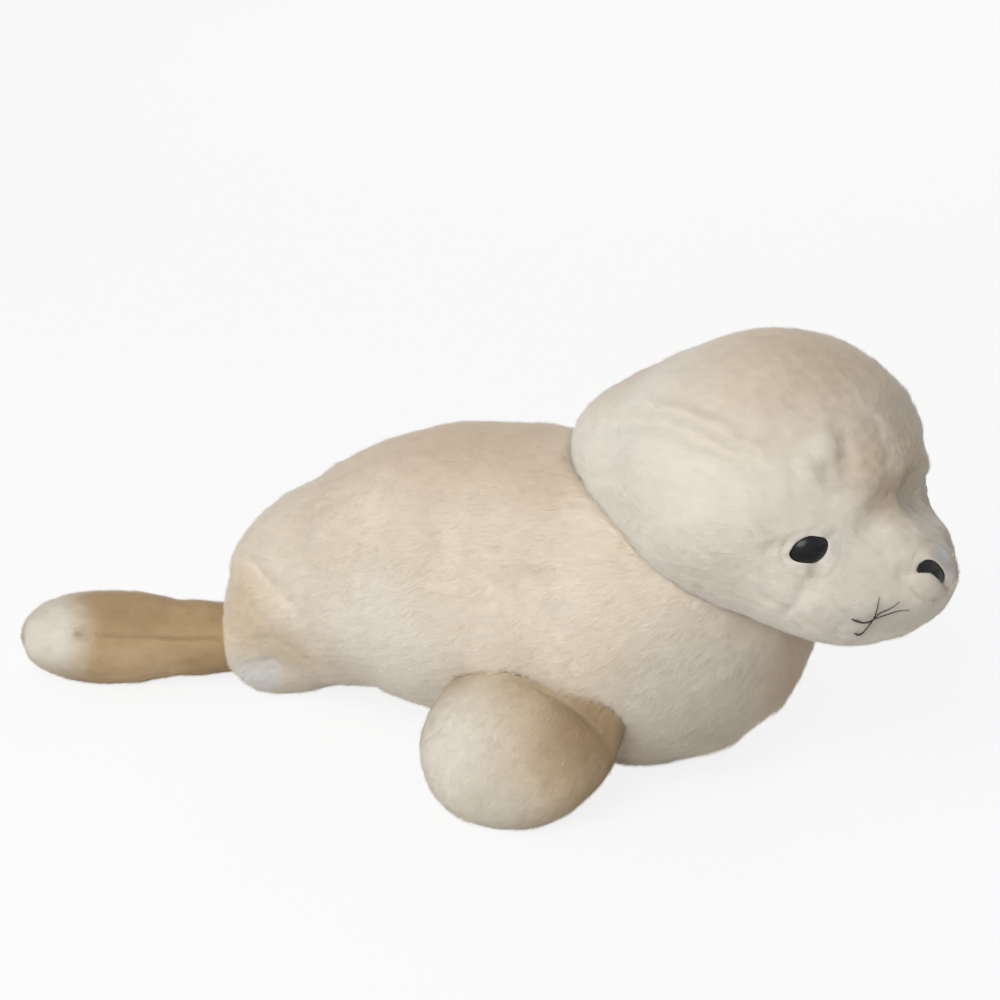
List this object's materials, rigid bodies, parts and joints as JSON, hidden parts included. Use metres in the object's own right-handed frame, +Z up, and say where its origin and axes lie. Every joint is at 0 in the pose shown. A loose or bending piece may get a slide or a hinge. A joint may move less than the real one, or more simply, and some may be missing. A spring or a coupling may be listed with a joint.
{
  "type": "plush seal",
  "caption": "Stuffed toy seal lying on its belly, with front flippers, a tail flipper, button eyes and nose, and thread whiskers.",
  "frame": {"origin": "on the floor, under the middle of the toy's length and width", "axes": "+X towards the nose, +Y to the seal's left, +Z up"},
  "size_m": [0.5096, 0.2512, 0.2311],
  "materials": {
    "cream_fur": "short-pile plush, warm cream",
    "white_fur": "short-pile plush, off-white",
    "tan_fur": "short-pile plush, tan with pale tips",
    "gloss_black": "moulded, polished",
    "washer_plastic": "moulded, natural white",
    "black_thread": "twisted black sewing thread"
  },
  "bodies": {
    "root": {"body": "cream_fur", "head": "white_fur", "front_flipper_right": "tan_fur", "front_flipper_left": "tan_fur", "tail_flipper": "tan_fur", "eye_right": "gloss_black", "eye_left": "gloss_black", "nose": "gloss_black", "eye_washer_right": "washer_plastic", "eye_washer_left": "washer_plastic", "nose_washer": "washer_plastic", "whisker_right_1": "black_thread", "whisker_right_2": "black_thread", "whisker_right_3": "black_thread", "whisker_left_1": "black_thread", "whisker_left_2": "black_thread", "whisker_left_3": "black_thread"}
  },
  "joints": []
}
